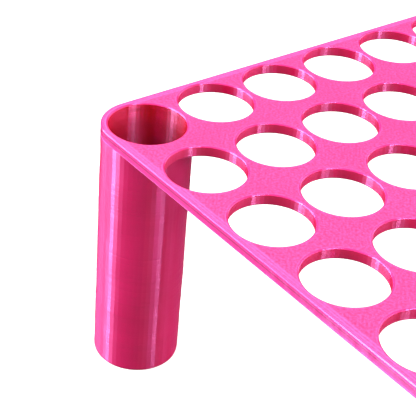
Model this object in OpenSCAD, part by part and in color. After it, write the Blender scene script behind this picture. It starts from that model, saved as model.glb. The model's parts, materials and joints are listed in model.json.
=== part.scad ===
// Microcentrifuge tube rack: a thin plate of round tube seats on four hollow corner legs.
// Origin: centre of the rack on the surface that it stands on. X across the columns,
// Y along the rows, Z up.

/* [Tube seats] */
// Diameter of the round seat that a tube hangs in
seat_d = 11; // [10:0.1:11.4]
// Number of columns, counted across X
columns = 6; // [4:1:8]
// Number of rows, counted along Y
rows = 8; // [4:1:12]
// Distance between the centres of neighbouring columns
column_pitch = 13.4; // [13:0.1:16]
// Distance between the centres of neighbouring rows
row_pitch = 12; // [12:0.1:16]

/* [Plate] */
// Thickness of the plate
plate_t = 1.6; // [1.4:0.1:4]
// Material left outside the seats along the rim, which is also the wall of a leg
rim_w = 1; // [0.8:0.1:2]

/* [Legs] */
// Height of the rack, from the surface it stands on to the top of the plate
rack_h = 40; // [30:1:60]
// Bevel round the outer edge of each foot
foot_bevel = 0.3; // [0.1:0.1:0.6]
// Height of the spigot that a leg plugs into the plate with
spigot_h = 0.8; // [0.4:0.1:0.9]
// Wall of the spigot
spigot_wall = 0.5; // [0.4:0.05:0.6]

/* [Hidden] */
seat_r = seat_d / 2;
leg_r = seat_r + rim_w;
spigot_r = seat_r + spigot_wall;
// Centres of the outermost seats, which are also the axes of the legs
corner_x = (columns - 1) * column_pitch / 2;
corner_y = (rows - 1) * row_pitch / 2;
plate_z = rack_h - plate_t;
// How far a cutter runs past the face it opens
past = 1;
plate_color = [1.0, 0.36, 0.70];
leg_color = [0.93, 0.25, 0.60];
$fn = 96;

// Puts its children at each corner of the plate
module at_corners() {
    for (x = [-corner_x, corner_x], y = [-corner_y, corner_y])
        translate([x, y, 0])
            children();
}

// Puts its children at the centre of each tube seat
module at_seats() {
    for (i = [0 : columns - 1], j = [0 : rows - 1])
        translate([i * column_pitch - corner_x, j * row_pitch - corner_y, 0])
            children();
}

// Outline of the plate: its rounded corners follow the legs
module plate_outline() {
    square([2 * (corner_x + leg_r), 2 * corner_y], center = true);
    square([2 * corner_x, 2 * (corner_y + leg_r)], center = true);
    at_corners()
        circle(r = leg_r);
}

// The plate, open through every seat, with a socket under each corner seat
module top_plate() {
    color(plate_color)
        translate([0, 0, plate_z])
            difference() {
                linear_extrude(height = plate_t)
                    plate_outline();
                at_seats()
                    translate([0, 0, -past])
                        cylinder(r = seat_r, h = plate_t + 2 * past);
                at_corners()
                    translate([0, 0, -past])
                        cylinder(r = spigot_r, h = spigot_h + past);
            }
}

// One hollow leg, flush with the plate's corner, with its spigot in the plate's socket
module leg(x, y) {
    color(leg_color)
        translate([x, y, 0])
            rotate_extrude()
                polygon([
                    [seat_r, 0],
                    [leg_r - foot_bevel, 0],
                    [leg_r, foot_bevel],
                    [leg_r, plate_z],
                    [spigot_r, plate_z],
                    [spigot_r, plate_z + spigot_h],
                    [seat_r, plate_z + spigot_h]
                ]);
}

module leg_front_left() leg(-corner_x, -corner_y);
module leg_front_right() leg(corner_x, -corner_y);
module leg_back_left() leg(-corner_x, corner_y);
module leg_back_right() leg(corner_x, corner_y);

top_plate();
leg_front_left();
leg_front_right();
leg_back_left();
leg_back_right();
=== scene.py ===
"""Looks of the microcentrifuge tube rack: printed plate, hollow printed legs, studio and camera."""

import json
import math
import random

import bpy
from mathutils import Matrix, Vector, noise


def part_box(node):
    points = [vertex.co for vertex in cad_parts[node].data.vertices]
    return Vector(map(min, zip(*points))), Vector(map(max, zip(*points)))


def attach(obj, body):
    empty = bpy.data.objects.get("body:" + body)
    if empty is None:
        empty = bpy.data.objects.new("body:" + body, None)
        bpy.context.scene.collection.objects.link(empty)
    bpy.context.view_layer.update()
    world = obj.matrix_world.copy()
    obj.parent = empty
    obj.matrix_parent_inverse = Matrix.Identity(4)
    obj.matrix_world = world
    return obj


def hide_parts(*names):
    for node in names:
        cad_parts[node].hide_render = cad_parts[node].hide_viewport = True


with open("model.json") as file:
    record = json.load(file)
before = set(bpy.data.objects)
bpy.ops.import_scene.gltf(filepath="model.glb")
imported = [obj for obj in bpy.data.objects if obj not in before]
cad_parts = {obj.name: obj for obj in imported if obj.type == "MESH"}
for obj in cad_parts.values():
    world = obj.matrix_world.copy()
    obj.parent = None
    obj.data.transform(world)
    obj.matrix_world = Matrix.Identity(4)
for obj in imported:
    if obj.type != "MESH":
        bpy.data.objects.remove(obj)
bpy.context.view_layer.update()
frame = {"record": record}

MM = 0.001
RIGHT_ANGLE = math.pi / 2

# ---------------------------------------------------------------- sizes, read from the frame
seats = [m for m in frame["record"]["mounts"] if m["name"].startswith("seat_")]
SEAT_R = seats[0]["dims"]["r_mm"] * MM
COLUMNS_X = sorted({round(m["pos_m"][0], 6) for m in seats})
ROWS_Y = sorted({round(m["pos_m"][1], 6) for m in seats})
PITCH_X = COLUMNS_X[1] - COLUMNS_X[0]
PITCH_Y = ROWS_Y[1] - ROWS_Y[0]
plate_low, plate_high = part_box("top_plate")
leg_low, leg_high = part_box("leg_front_left")
TOP_Z, UNDER_Z = plate_high.z, plate_low.z
RIM_R = (leg_high.x - leg_low.x) / 2
SOCKET_R = (SEAT_R + RIM_R) / 2
SPIGOT_TOP_Z = leg_high.z

# ---------------------------------------------------------------- how the rack was printed
LAYER = 0.2 * MM             # height of one printed layer
RIDGE = 0.008 * MM           # how far a layer's rounded side stands out of the groove below it
LINE = 0.42 * MM             # width of one printed line on a flat face
LOOPS = 3                    # printed lines that follow each edge before the slanted fill begins
PLATE_JOG = 0.004 * MM       # how far the plate's layers are out of line with each other
LEG_JUMP = 0.006 * MM        # the same in a leg, from one layer to the next
LEG_DRIFT = 0.01 * MM        # and as a slow drift up the leg
DRIFT_KEPT = 0.85            # the part of the drift that a layer hands on to the next

# ---------------------------------------------------------------- shape of the meshes
SIDES = 60                   # flat facets round each seat and leg
QUARTER = SIDES // 4
ALONG_Y = QUARTER // 2       # steps along half a pitch, each way
ALONG_X = QUARTER - ALONG_Y
EDGE_ROUND = 0.2 * MM        # rounding of the plate's upper and lower edges
FOOT_ROUND = 0.3 * MM        # rounding of a leg's outer lower edge
ROUND_STEPS = 3              # steps round each of these
FLAT_MARGIN = 0.03 * MM      # a strip beside the rounding that the flat face leaves free
FLAT = EDGE_ROUND + FLAT_MARGIN
WAVE = 0.06 * MM             # how far a leg's outside wanders in and out
WAVE_INSET = 0.3 * WAVE      # a leg is drawn this much slimmer, so that its waves stay in place
WAVE_LENGTH = 7 * MM         # height of one wave up a leg, times WAVES_ROUND
WAVES_ROUND = 1.6            # how quickly the waves follow each other round a leg
FIT = 0.02 * MM              # gap round a leg's spigot in the plate's socket
WELD_STEPS = 1e7             # steps per metre: points that round to the same step are one point

WALL_SLOT, BORE_SLOT, TOP_SLOT, UNDER_SLOT, EDGE_SLOT, RIM_SLOT = 0, 1, 2, 3, 4, 5
random.seed(7)


def layer_jogs(count, jump, drift):
    """One small radial offset per layer: a slow drift plus a jump of its own."""
    value, out = 0.0, []
    for _ in range(count):
        value = DRIFT_KEPT * value + random.uniform(-drift, drift)
        out.append(value + random.uniform(-jump, jump))
    return out


# ---------------------------------------------------------------- mesh helpers
class Builder:
    """Collects rings of points, the faces between them and the edges that stay sharp."""

    def __init__(self):
        self.verts, self.faces, self.slots, self.sharp, self.where = [], [], [], set(), {}

    def ring(self, points):
        """The indices of a ring's points. A point that is already there is used again."""
        out = []
        for p in points:
            key = tuple(round(value * WELD_STEPS) for value in p)
            if key not in self.where:
                self.where[key] = len(self.verts)
                self.verts.append(p)
            out.append(self.where[key])
        return out

    def join(self, a, b, flip=False, facets=False, slot=WALL_SLOT):
        """Quads between two closed rings of the same length; facets keeps the joining edges sharp."""
        for k in range(len(a)):
            m = (k + 1) % len(a)
            face = [a[k], a[m], b[m], b[k]]
            face = [v for i, v in enumerate(face) if v != face[i - 1]]
            if len(face) > 2:
                self.faces.append(face[::-1] if flip else face)
                self.slots.append(slot)
            if facets:
                self.sharp.add((min(a[k], b[k]), max(a[k], b[k])))

    def crease(self, ring):
        """Keeps the edges along a ring sharp."""
        for k, v in enumerate(ring):
            w = ring[(k + 1) % len(ring)]
            self.sharp.add((min(v, w), max(v, w)))

    def chain(self, rings, flip=False, facets=True, slot=WALL_SLOT):
        """Joins (ring, is sharp) pairs one after another."""
        for (a, _), (b, _) in zip(rings, rings[1:]):
            self.join(a, b, flip, facets, slot)
        for ring, sharp in rings:
            if sharp:
                self.crease(ring)

    def finish(self, name):
        """Makes the Blender object."""
        mesh = bpy.data.meshes.new(name)
        mesh.from_pydata(self.verts, [], self.faces)
        mesh.update()
        mesh.polygons.foreach_set("use_smooth", [True] * len(mesh.polygons))
        mesh.polygons.foreach_set("material_index", self.slots)
        pairs = [0] * (2 * len(mesh.edges))
        mesh.edges.foreach_get("vertices", pairs)
        flags = [(min(a, b), max(a, b)) in self.sharp for a, b in zip(pairs[0::2], pairs[1::2])]
        mesh.attributes.new("sharp_edge", "BOOLEAN", "EDGE").data.foreach_set("value", flags)
        obj = bpy.data.objects.new(name, mesh)
        bpy.context.scene.collection.objects.link(obj)
        return obj


def circle(cx, cy, r, z, phase=0.0, wave=0.0):
    """One turn of points. Phase moves them round by that part of a facet; wave is how far the
    surface wanders slowly in and out."""
    out = []
    for k in range(SIDES):
        a = 2 * math.pi / SIDES * (k + phase)
        x, y = math.cos(a), math.sin(a)
        far = r
        if wave:
            spot = Vector((x, y, z / WAVE_LENGTH)) * WAVES_ROUND + Vector((cx, cy, 0)) / MM
            far += wave * noise.noise(spot)
        out.append((cx + far * x, cy + far * y, z))
    return out


def rounding(radius):
    """(pulled back, down) from a flat face, round the edge, to the wall."""
    angles = [RIGHT_ANGLE * k / ROUND_STEPS for k in range(ROUND_STEPS + 1)]
    return [(radius * (1 - math.sin(a)), radius * (1 - math.cos(a))) for a in angles]


# ---------------------------------------------------------------- plate
def plate_levels():
    """(z, how far the material stands out, is a groove) down the plate's walls."""
    layers = round((TOP_Z - UNDER_Z) / LAYER)
    jogs = layer_jogs(layers, PLATE_JOG, PLATE_JOG)
    out = []
    for k, jog in enumerate(jogs):
        middle, groove = TOP_Z - LAYER * (k + 0.5), TOP_Z - LAYER * (k + 1)
        if UNDER_Z + EDGE_ROUND < middle < TOP_Z - EDGE_ROUND:
            out.append((middle, jog, False))
        if UNDER_Z + EDGE_ROUND < groove:
            out.append((groove, jog - RIDGE, True))
    return out


def cell_border(i, j, z):
    """The outline of the piece of plate that belongs to one seat, turning left from +X, with as
    many points as a seat has. Along the plate's edge it is pulled in to the flat."""
    last_i, last_j = len(COLUMNS_X) - 1, len(ROWS_Y) - 1
    edge = RIM_R - FLAT
    out = []
    for q, (sx, sy) in enumerate(((1, 1), (-1, 1), (-1, -1), (1, -1))):
        at_x = i == (last_i if sx > 0 else 0)
        at_y = j == (last_j if sy > 0 else 0)
        rx, ry = edge if at_x else PITCH_X / 2, edge if at_y else PITCH_Y / 2
        if at_x and at_y:
            angles = [RIGHT_ANGLE * k / QUARTER for k in range(QUARTER + 1)]
            quarter = [(rx * math.cos(a), ry * math.sin(a)) for a in angles]
        else:
            quarter = [(rx, ry * k / ALONG_Y) for k in range(ALONG_Y)]
            quarter += [(rx * (1 - k / ALONG_X), ry) for k in range(ALONG_X + 1)]
        if q % 2:
            quarter.reverse()
        out += [(COLUMNS_X[i] + sx * x, ROWS_Y[j] + sy * y, z) for x, y in quarter[:-1]]
    return out


def outline(z, pulled, pulled_at_legs=None):
    """The plate's outline, pulled in, turning left from the start of its back right corner."""
    if pulled_at_legs is None:
        pulled_at_legs = pulled
    points = []

    def corner(cx, cy, start):
        r = RIM_R - pulled_at_legs
        for k in range(QUARTER + 1):
            a = start + RIGHT_ANGLE * k / QUARTER
            points.append((cx + r * math.cos(a), cy + r * math.sin(a), z))

    def side(centres, steps, place):
        for a, b in zip(centres, centres[1:]):
            for k in range(steps):
                if (a, k) != (centres[0], 0):
                    points.append(place(a + (b - a) * k / steps))

    r = RIM_R - pulled
    xs, ys = COLUMNS_X, ROWS_Y
    corner(xs[-1], ys[-1], 0)
    side(xs[::-1], 2 * ALONG_X, lambda x: (x, ys[-1] + r, z))
    corner(xs[0], ys[-1], RIGHT_ANGLE)
    side(ys[::-1], 2 * ALONG_Y, lambda y: (xs[0] - r, y, z))
    corner(xs[0], ys[0], 2 * RIGHT_ANGLE)
    side(xs, 2 * ALONG_X, lambda x: (x, ys[0] - r, z))
    corner(xs[-1], ys[0], 3 * RIGHT_ANGLE)
    side(ys, 2 * ALONG_Y, lambda y: (xs[-1] + r, y, z))
    return points


def add_seat(b, i, j, levels):
    """One seat: its lip, its wall, and the flat faces round it above and below."""
    cx, cy = COLUMNS_X[i], ROWS_Y[j]
    on_leg = cx in (COLUMNS_X[0], COLUMNS_X[-1]) and cy in (ROWS_Y[0], ROWS_Y[-1])

    def turn(r, z, sharp=False):
        return b.ring(circle(cx, cy, r, z)), sharp

    lip = [turn(SEAT_R + FLAT, TOP_Z)]
    lip += [turn(SEAT_R + pulled, TOP_Z - down) for pulled, down in rounding(EDGE_ROUND)]
    b.chain(lip, slot=RIM_SLOT)
    wall = lip[-1:]
    for z, out, groove in levels:
        if not on_leg or z > SPIGOT_TOP_Z + LAYER / 4:
            wall.append(turn(SEAT_R - out, z, groove))
    if on_leg:
        wall.append(turn(SEAT_R + RIDGE, SPIGOT_TOP_Z, True))
        wall.append(turn(SOCKET_R, SPIGOT_TOP_Z, True))
        wall.append(turn(SOCKET_R, UNDER_Z, True))
    else:
        wall += [turn(SEAT_R + pulled, UNDER_Z + up) for pulled, up in rounding(EDGE_ROUND)[::-1]]
        wall.append(turn(SEAT_R + FLAT, UNDER_Z))
    b.chain(wall, slot=BORE_SLOT if on_leg else WALL_SLOT)
    top, under = lip[0][0], wall[-1][0]
    b.join(top, b.ring(cell_border(i, j, TOP_Z)), flip=True, slot=TOP_SLOT)
    b.join(under, b.ring(cell_border(i, j, UNDER_Z)), slot=UNDER_SLOT)


def add_side(b, levels):
    """The lip and the wall round the outside of the plate."""

    def turn(z, pulled, pulled_at_legs=None, sharp=False):
        return b.ring(outline(z, pulled, pulled_at_legs)), sharp

    lip = [turn(TOP_Z, FLAT)]
    lip += [turn(TOP_Z - down, pulled) for pulled, down in rounding(EDGE_ROUND)]
    b.chain(lip, flip=True, facets=False, slot=RIM_SLOT)
    wall = lip[-1:]
    wall += [turn(z, -out, sharp=groove) for z, out, groove in levels]
    for pulled, up in rounding(EDGE_ROUND)[::-1]:
        # over a leg the wall runs straight down, to a groove between the two pieces
        wall.append(turn(UNDER_Z + up, pulled, 0.0 if up > 0 else RIDGE))
    wall.append(turn(UNDER_Z, FLAT))
    b.chain(wall, flip=True, facets=False, slot=EDGE_SLOT)


def build_plate():
    """The whole plate, with the same seat in every column and row."""
    b = Builder()
    levels = plate_levels()
    for i in range(len(COLUMNS_X)):
        for j in range(len(ROWS_Y)):
            add_seat(b, i, j, levels)
    add_side(b, levels)
    return b.finish("printed_plate")


# ---------------------------------------------------------------- legs
def build_leg(name, node):
    """A hollow leg: layered outside, layered bore, rounded foot and a spigot that enters the plate."""
    low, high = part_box(node)
    cx, cy = (low.x + high.x) / 2, (low.y + high.y) / 2
    layers = round((SPIGOT_TOP_Z - low.z) / LAYER)
    b = Builder()

    def outside(r, z, sharp=False):
        return b.ring(circle(cx, cy, r - WAVE_INSET, z, 0.5, WAVE)), sharp

    def bore(r, z, sharp=False):
        return b.ring(circle(cx, cy, r, z)), sharp

    foot = rounding(FOOT_ROUND)
    outer = [outside(RIM_R - FOOT_ROUND, low.z, True)]
    outer += [outside(RIM_R - pulled, low.z + up) for pulled, up in foot[1:-1]]
    inner = [bore(SEAT_R, low.z, True)]
    for k, jog in enumerate(layer_jogs(layers, LEG_JUMP, LEG_DRIFT)):
        groove, middle = low.z + LAYER * k, low.z + LAYER * (k + 0.5)
        if low.z + FOOT_ROUND < groove < UNDER_Z - LAYER / 2:
            outer.append(outside(RIM_R - RIDGE + jog, groove, True))
        if low.z + FOOT_ROUND < middle < UNDER_Z:
            outer.append(outside(RIM_R + jog, middle))
        if k:
            inner.append(bore(SEAT_R + RIDGE - jog, groove, True))
        inner.append(bore(SEAT_R - jog, middle))
    outer.append(outside(RIM_R - RIDGE, UNDER_Z, True))
    inner.append(bore(SEAT_R + RIDGE, SPIGOT_TOP_Z, True))
    shoulder = bore(SOCKET_R - FIT, UNDER_Z, True)
    collar = bore(SOCKET_R - FIT, SPIGOT_TOP_Z, True)
    b.chain(outer)
    b.chain(inner, flip=True, slot=BORE_SLOT)
    b.chain([outer[-1], shoulder, collar, inner[-1]])
    b.chain([inner[0], outer[0]])
    return b.finish(name)


# ---------------------------------------------------------------- material nodes
class Nodes:
    """A small helper that adds and links shader nodes."""

    def __init__(self, name):
        self.mat = bpy.data.materials.new(name)
        self.mat.use_nodes = True
        self.tree = self.mat.node_tree
        self.tree.nodes.clear()

    def add(self, kind, settings=(), inputs=()):
        """A new node. An input is linked where its value is a socket, and set where it isn't."""
        node = self.tree.nodes.new(kind)
        for key, value in dict(settings).items():
            setattr(node, key, value)
        for key, value in dict(inputs).items():
            if isinstance(value, bpy.types.NodeSocket):
                self.tree.links.new(value, node.inputs[key])
            else:
                node.inputs[key].default_value = value
        return node

    def math(self, operation, a, b=0.0, c=0.0):
        return self.add("ShaderNodeMath", {"operation": operation}, {0: a, 1: b, 2: c}).outputs[0]

    def blend(self, amount, a, b):
        """A mix of two colours: all a at amount 0, all b at 1."""
        return self.add("ShaderNodeMix", {"data_type": "RGBA"}, {0: amount, 6: a, 7: b}).outputs[2]

    def noise(self, place, scale, detail):
        inputs = {"Vector": place, "Scale": scale, "Detail": detail}
        return self.add("ShaderNodeTexNoise", {}, inputs).outputs["Fac"]

    def ramp(self, value, start, end, at_start=0.0, at_end=1.0):
        """Goes from at_start to at_end while the value goes from start to end."""
        inputs = {"Value": value, "From Min": start, "From Max": end, "To Min": at_start, "To Max": at_end}
        return self.add("ShaderNodeMapRange", {}, inputs).outputs[0]

    def length(self, a, b):
        return self.math("SQRT", self.math("ADD", self.math("MULTIPLY", a, a), self.math("MULTIPLY", b, b)))

    def surface(self, shader):
        out = self.add("ShaderNodeOutputMaterial")
        self.tree.links.new(shader.outputs[0], out.inputs["Surface"])
        return self.mat


# ---------------------------------------------------------------- colours and gloss
# each pair is the colour and its darker patches. They are lit and shaded copies of the one pink plastic:
# the flat faces get the palest as painted light; the rims, the plate's side, the legs' walls, the seats and
# the bores get deeper, redder ones as painted shade, the bores deepest
WALL_SHADE_COLOURS = (0.44, 0.004, 0.074, 1.0), (0.40, 0.003, 0.062, 1.0)
SEAT_SHADE_COLOURS = (0.36, 0.003, 0.036, 1.0), (0.32, 0.002, 0.029, 1.0)
RIM_SHADE_COLOURS = (0.58, 0.030, 0.170, 1.0), (0.54, 0.025, 0.150, 1.0)
EDGE_SHADE_COLOURS = (0.46, 0.004, 0.120, 1.0), (0.42, 0.003, 0.105, 1.0)
BORE_SHADE_COLOURS = (0.35, 0.006, 0.008, 1.0), (0.31, 0.005, 0.006, 1.0)
FLAT_LIT_COLOURS = (0.66, 0.062, 0.255, 1.0), (0.60, 0.052, 0.225, 1.0)
LILAC_HIGHLIGHT = (0.86, 0.150, 0.560, 1.0)                # painted highlight: where a printed line catches the light
SHADE_LINE = (0.10, 0.001, 0.020, 1.0)            # painted shade: the line along the plate's side, for the shade in a layer groove
GRAIN = (0.44, 0.022, 0.120, 1.0)                # the specks of the flat faces

# each pair is the specular level and its tint
SIDE_GLOSS = 3.5, (1.0, 0.32, 0.83, 1.0)
BORE_GLOSS = 6.5, (1.0, 0.34, 0.76, 1.0)
EDGE_GLOSS = 2.4, (1.0, 0.37, 0.92, 1.0)
RIM_GLOSS = 1.8, (1.0, 0.32, 0.83, 1.0)
FLAT_GLOSS = 1.15, (0.7, 0.60, 1.0, 1.0)
PLASTIC_IOR = 1.5

# the scale of each noise is in waves per metre, and its range is where the colour changes
PATCH_SCALE, PATCH_DETAIL, PATCH_RANGE = 120.0, 3.0, (0.3, 0.6)
GRAIN_SCALE, GRAIN_DETAIL, GRAIN_RANGE = 2800.0, 2.0, (0.35, 0.65)
SWELL_SCALE, SWELL_DETAIL = 420.0, 2.0
GRAIN_STRENGTH = 0.9                             # how much of the grain's own colour shows
GRAIN_HEIGHT = 0.010 * MM
LINE_HEIGHT = 0.012 * MM
SWELL_HEIGHT = 0.13 * MM
OUTER_LINE_HIGHLIGHT = 0.32                       # how strongly the painted highlight turns the loops along the plate's outline lilac
SEAT_LINE_HIGHLIGHT = 0.3                         # the painted highlight on the loop round a seat, as a part of that
SHADE_LINE_DEPTH = 0.62 * MM                      # how far the painted shade line is below the top face
# the painted shade line and the painted highlight along the lower edge: core, end, and how strongly both
# show
SHADE_LINE_CORE, SHADE_LINE_END = 0.08 * MM, 0.22 * MM
HIGHLIGHT_LINE_CORE, HIGHLIGHT_LINE_END = 0.12 * MM, 0.3 * MM
EDGE_PAINTED_LINE_STRENGTH = 0.7


# ---------------------------------------------------------------- printed patterns
def folded(n, value, first, pitch):
    """Distance along one axis from the nearest seat centre."""
    shifted = n.math("ADD", value, -first + pitch / 2)
    return n.math("SUBTRACT", n.math("FLOORED_MODULO", shifted, pitch), pitch / 2)


def ridge(n, distance, width):
    """From 0 in the gap between two printed lines to 1 along their middle."""
    along = n.math("FRACT", n.math("DIVIDE", distance, width))
    centred = n.math("SUBTRACT", n.math("MULTIPLY", along, 2.0), 1.0)
    return n.math("SUBTRACT", 1.0, n.math("MULTIPLY", centred, centred))


def printed_lines(n, place):
    """Height of the printed lines on a flat face, loops along every edge and slanted fill between,
    and a mask of painted highlight along the outermost loops round the plate's outline and its seats."""
    split = n.add("ShaderNodeSeparateXYZ", {}, {0: place})
    x, y = split.outputs[0], split.outputs[1]
    seat_x, seat_y = folded(n, x, COLUMNS_X[0], PITCH_X), folded(n, y, ROWS_Y[0], PITCH_Y)
    from_seat = n.math("SUBTRACT", n.length(seat_x, seat_y), SEAT_R)
    past_x = n.math("SUBTRACT", n.math("ABSOLUTE", x), COLUMNS_X[-1])
    past_y = n.math("SUBTRACT", n.math("ABSOLUTE", y), ROWS_Y[-1])
    beyond = n.length(n.math("MAXIMUM", past_x, 0.0), n.math("MAXIMUM", past_y, 0.0))
    within = n.math("MINIMUM", n.math("MAXIMUM", past_x, past_y), 0.0)
    from_rim = n.math("SUBTRACT", RIM_R, n.math("ADD", beyond, within))
    nearest = n.math("MINIMUM", from_seat, from_rim)
    loops = ridge(n, nearest, LINE)
    fill = ridge(n, n.math("MULTIPLY", n.math("ADD", x, y), math.sqrt(0.5)), LINE)
    is_fill = n.math("GREATER_THAN", nearest, LOOPS * LINE)
    lines = n.add("ShaderNodeMix", {"data_type": "FLOAT"}, {0: is_fill, 2: loops, 3: fill}).outputs[0]
    rim_line_highlight = n.math("MULTIPLY", n.math("LESS_THAN", from_rim, LOOPS * LINE), ridge(n, from_rim, LINE))
    seat_line_highlight = n.math("MULTIPLY", n.math("LESS_THAN", from_seat, LINE), SEAT_LINE_HIGHLIGHT)
    return lines, n.math("MAXIMUM", rim_line_highlight, seat_line_highlight)


def flat_pattern(n, place, colour):
    """Colour and height of the top face and the underside: printed lines, fine grain and a painted
    highlight along the outer loops.
    """
    speck = n.noise(place, GRAIN_SCALE, GRAIN_DETAIL)
    lines, outer_line_highlight = printed_lines(n, place)
    grain_height = n.math("MULTIPLY", speck, GRAIN_HEIGHT)
    height = n.math("ADD", grain_height, n.math("MULTIPLY", lines, LINE_HEIGHT))
    grain = n.math("MULTIPLY", n.ramp(speck, *GRAIN_RANGE), GRAIN_STRENGTH)
    colour = n.blend(grain, colour, GRAIN)
    # painted highlight: the outer loops blended toward lilac
    colour = n.blend(n.math("MULTIPLY", outer_line_highlight, OUTER_LINE_HIGHLIGHT), colour, LILAC_HIGHLIGHT)
    return colour, height


def edge_pattern(n, place, colour):
    """Colour and height of the plate's side: a line of painted shade along it, a painted highlight along
    its lower edge, and a surface that swells a little in and out."""
    z = n.add("ShaderNodeSeparateXYZ", {}, {0: place}).outputs[2]
    off_line = n.math("ABSOLUTE", n.math("SUBTRACT", z, TOP_Z - SHADE_LINE_DEPTH))
    # dark is a line of painted shade, and light a painted highlight along the lower edge
    dark = n.ramp(off_line, SHADE_LINE_CORE, SHADE_LINE_END, EDGE_PAINTED_LINE_STRENGTH, 0.0)
    light = n.ramp(z, UNDER_Z + HIGHLIGHT_LINE_CORE, UNDER_Z + HIGHLIGHT_LINE_END, EDGE_PAINTED_LINE_STRENGTH, 0.0)
    colour = n.blend(dark, colour, SHADE_LINE)
    colour = n.blend(light, colour, LILAC_HIGHLIGHT)
    swell = n.noise(place, SWELL_SCALE, SWELL_DETAIL)
    return colour, n.math("MULTIPLY", swell, SWELL_HEIGHT)


def plastic(name, colours, gloss, roughness, pattern=None, upright=False):
    """Silky printed plastic. Its colours are a copy of the one pink, made paler or deeper as painted light
    and shade.
    Upright draws the gloss out vertically, across the fine layer lines.
    """
    n = Nodes(name)
    place = n.add("ShaderNodeTexCoord").outputs["Object"]
    patches = n.ramp(n.noise(place, PATCH_SCALE, PATCH_DETAIL), *PATCH_RANGE)
    main_colour, dark_colour = colours
    colour = n.blend(patches, dark_colour, main_colour)
    height = None
    if pattern:
        colour, height = pattern(n, place, colour)
    level, tint = gloss
    shader = n.add("ShaderNodeBsdfPrincipled", {}, {
        "Base Color": colour,
        "Roughness": roughness,
        "IOR": PLASTIC_IOR,
        "Specular IOR Level": level,
        "Specular Tint": tint,
        "Anisotropic": 1.0 if upright else 0.0,
    })
    if height:
        bump = n.add("ShaderNodeBump", {}, {"Strength": 1.0, "Distance": 1.0, "Height": height})
        n.tree.links.new(bump.outputs[0], shader.inputs["Normal"])
    if upright:
        vertical = n.add("ShaderNodeCombineXYZ", {}, {2: 1.0}).outputs[0]
        n.tree.links.new(vertical, shader.inputs["Tangent"])
    return n.surface(shader)


# lit and shaded copies of the one pink: painted light on the flat faces, painted shade on the other faces
WALL = plastic("printed_wall", WALL_SHADE_COLOURS, SIDE_GLOSS, roughness=0.30, upright=True)
RIM = plastic("printed_rim", RIM_SHADE_COLOURS, RIM_GLOSS, roughness=0.30, upright=True)
SEAT = plastic("printed_seat", SEAT_SHADE_COLOURS, SIDE_GLOSS, roughness=0.30, upright=True)
BORE = plastic("printed_bore", BORE_SHADE_COLOURS, BORE_GLOSS, roughness=0.225, upright=True)
TOP = plastic("printed_top", FLAT_LIT_COLOURS, FLAT_GLOSS, roughness=0.45, pattern=flat_pattern)
UNDER = plastic("printed_underside", FLAT_LIT_COLOURS, FLAT_GLOSS, roughness=0.36, pattern=flat_pattern)
EDGE = plastic("printed_edge", EDGE_SHADE_COLOURS, EDGE_GLOSS, 0.26, pattern=edge_pattern, upright=True)

# ---------------------------------------------------------------- the five pieces
plate = build_plate()
for material in (SEAT, BORE, TOP, UNDER, EDGE, RIM):
    plate.data.materials.append(material)
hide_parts("top_plate")
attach(plate, "root")

for corner_name in ("front_left", "front_right", "back_left", "back_right"):
    leg = build_leg("printed_leg_" + corner_name, "leg_" + corner_name)
    for material in (WALL, BORE):
        leg.data.materials.append(material)
    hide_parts("leg_" + corner_name)
    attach(leg, "root")


# ---------------------------------------------------------------- floor and surroundings
FLOOR_HALF = 3.0                                 # half the floor's side, in metres
FLOOR_GAP = 0.05 * MM                            # the floor is this far below the feet
FLOOR_GLOW = 0.93                                # the floor's own light, which only the camera sees
FLOOR_SHADE = (0.3, 0.3, 0.3, 1.0)               # what shows a trace of shadow on it
FLOOR_GREY = (0.08, 0.08, 0.08, 1.0)             # the floor as the rack sees it
RED_GLOW = (0.30, 0.05, 0.02, 1.0)               # the surroundings as the rack sees them
WHITE = (1.0, 1.0, 1.0, 1.0)


def floor():
    """White to the camera, with a trace of shadow, and grey to everything else."""
    half = FLOOR_HALF
    mesh = bpy.data.meshes.new("floor")
    corners = [(-half, -half, 0), (half, -half, 0), (half, half, 0), (-half, half, 0)]
    mesh.from_pydata(corners, [], [(0, 1, 2, 3)])
    obj = bpy.data.objects.new("floor", mesh)
    bpy.context.scene.collection.objects.link(obj)
    obj.location.z = -FLOOR_GAP
    n = Nodes("pale_floor")
    glow = n.add("ShaderNodeEmission", {}, {"Strength": FLOOR_GLOW})
    shade = n.add("ShaderNodeBsdfDiffuse", {}, {"Color": FLOOR_SHADE})
    seen = n.add("ShaderNodeAddShader", {}, {0: glow.outputs[0], 1: shade.outputs[0]})
    grey = n.add("ShaderNodeBsdfDiffuse", {}, {"Color": FLOOR_GREY})
    is_seen = n.add("ShaderNodeLightPath").outputs["Is Camera Ray"]
    both = n.add("ShaderNodeMixShader", {}, {0: is_seen, 1: grey.outputs[0], 2: seen.outputs[0]})
    obj.data.materials.append(n.surface(both))


def studio():
    """White to the camera, a dim red to everything else."""
    world = bpy.data.worlds.new("studio")
    world.use_nodes = True
    tree = world.node_tree
    back = tree.nodes["Background"]
    is_seen = tree.nodes.new("ShaderNodeLightPath")
    level = tree.nodes.new("ShaderNodeMix")
    level.data_type = "RGBA"
    level.inputs[6].default_value = RED_GLOW
    level.inputs[7].default_value = WHITE
    tree.links.new(is_seen.outputs["Is Camera Ray"], level.inputs[0])
    tree.links.new(level.outputs[2], back.inputs["Color"])
    bpy.context.scene.world = world
    bpy.context.scene.view_settings.view_transform = "Standard"


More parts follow.
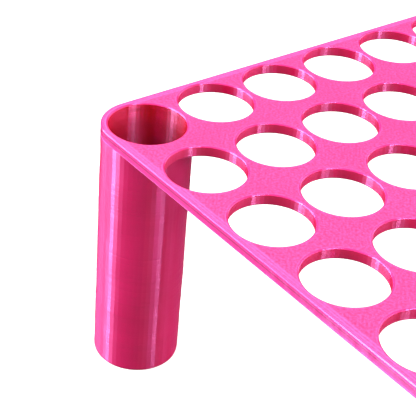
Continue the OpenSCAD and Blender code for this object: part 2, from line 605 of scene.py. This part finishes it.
# ---------------------------------------------------------------- lights
def softbox(name, azimuth, elevation, wide, tall, radiance, colour=WHITE[:3]):
    """An area light one metre away that faces the rack. All angles are in degrees: azimuth 0 is
    from -Y and 90 from +X, and wide and tall are the angles that the light spans."""
    a, e = math.radians(azimuth), math.radians(elevation)
    away = Vector((math.sin(a) * math.cos(e), -math.cos(a) * math.cos(e), math.sin(e)))
    data = bpy.data.lights.new(name, "AREA")
    data.shape = "RECTANGLE"
    data.size = 2 * math.tan(math.radians(wide / 2))
    data.size_y = 2 * math.tan(math.radians(tall / 2))
    data.energy = radiance * data.size * data.size_y * math.pi
    data.color = colour
    obj = bpy.data.objects.new(name, data)
    bpy.context.scene.collection.objects.link(obj)
    obj.visible_camera = False
    obj.location = Vector((0, 0, TOP_Z)) + away
    obj.rotation_mode = "QUATERNION"
    obj.rotation_quaternion = (-away).to_track_quat("-Z", "Y")


floor()
# a broad pale light along the front edge and the left of each leg
softbox("wall_left", -58, 18, 28, 36, 13.0)
# tall narrow lights: the left and the right one each make a bar in every seat and a streak down
# every leg, and the edge one lightens the near end of the plate's front edge
softbox("window_left", -24, 24, 12.5, 48, 37.0)
softbox("window_edge", -37.5, 16, 5.5, 32, 13.0)
softbox("window_right", 97, 42, 8, 78, 23.0)
# a pink light along the right of each leg, and a faint white one from high on the left
softbox("wall_right", 155, 18, 74, 36, 5.4, (1.0, 0.62, 0.75))
softbox("sky_left", -75, 56, 50, 44, 1.5)
# red light that keeps the shaded walls crimson
softbox("red_fill", 108, 15, 96, 50, 1.45, (1.0, 0.08, 0.05))
studio()

# ---------------------------------------------------------------- camera
CORNER = Vector((COLUMNS_X[0], ROWS_Y[0], TOP_Z))    # the centre of the front left seat
EYE = CORNER + Vector((112.33, -83.46, 82.77)) * MM
LOOK_AZIMUTH = math.radians(49.56)                   # from +Y, turning left
LOOK_DOWN = math.radians(34.49)
LOOK_ROLL = math.radians(5.31)
LENS, SENSOR = 101.68, 36.0                          # millimetres
NEAREST, FARTHEST = 0.01, 10.0                       # metres


def camera():
    """Looks down on the front left corner from the front right."""
    level, down = math.cos(LOOK_DOWN), math.sin(LOOK_DOWN)
    forward = Vector((-math.sin(LOOK_AZIMUTH) * level, math.cos(LOOK_AZIMUTH) * level, -down))
    right = Vector((math.cos(LOOK_AZIMUTH), math.sin(LOOK_AZIMUTH), 0))
    up = right.cross(forward)
    turned_right = math.cos(LOOK_ROLL) * right + math.sin(LOOK_ROLL) * up
    turned_up = -math.sin(LOOK_ROLL) * right + math.cos(LOOK_ROLL) * up
    data = bpy.data.cameras.new("camera")
    data.lens, data.sensor_width = LENS, SENSOR
    data.clip_start, data.clip_end = NEAREST, FARTHEST
    obj = bpy.data.objects.new("camera", data)
    bpy.context.scene.collection.objects.link(obj)
    turn = Matrix((turned_right, turned_up, -forward)).transposed()
    obj.matrix_world = Matrix.Translation(EYE) @ turn.to_4x4()
    bpy.context.scene.camera = obj


camera()
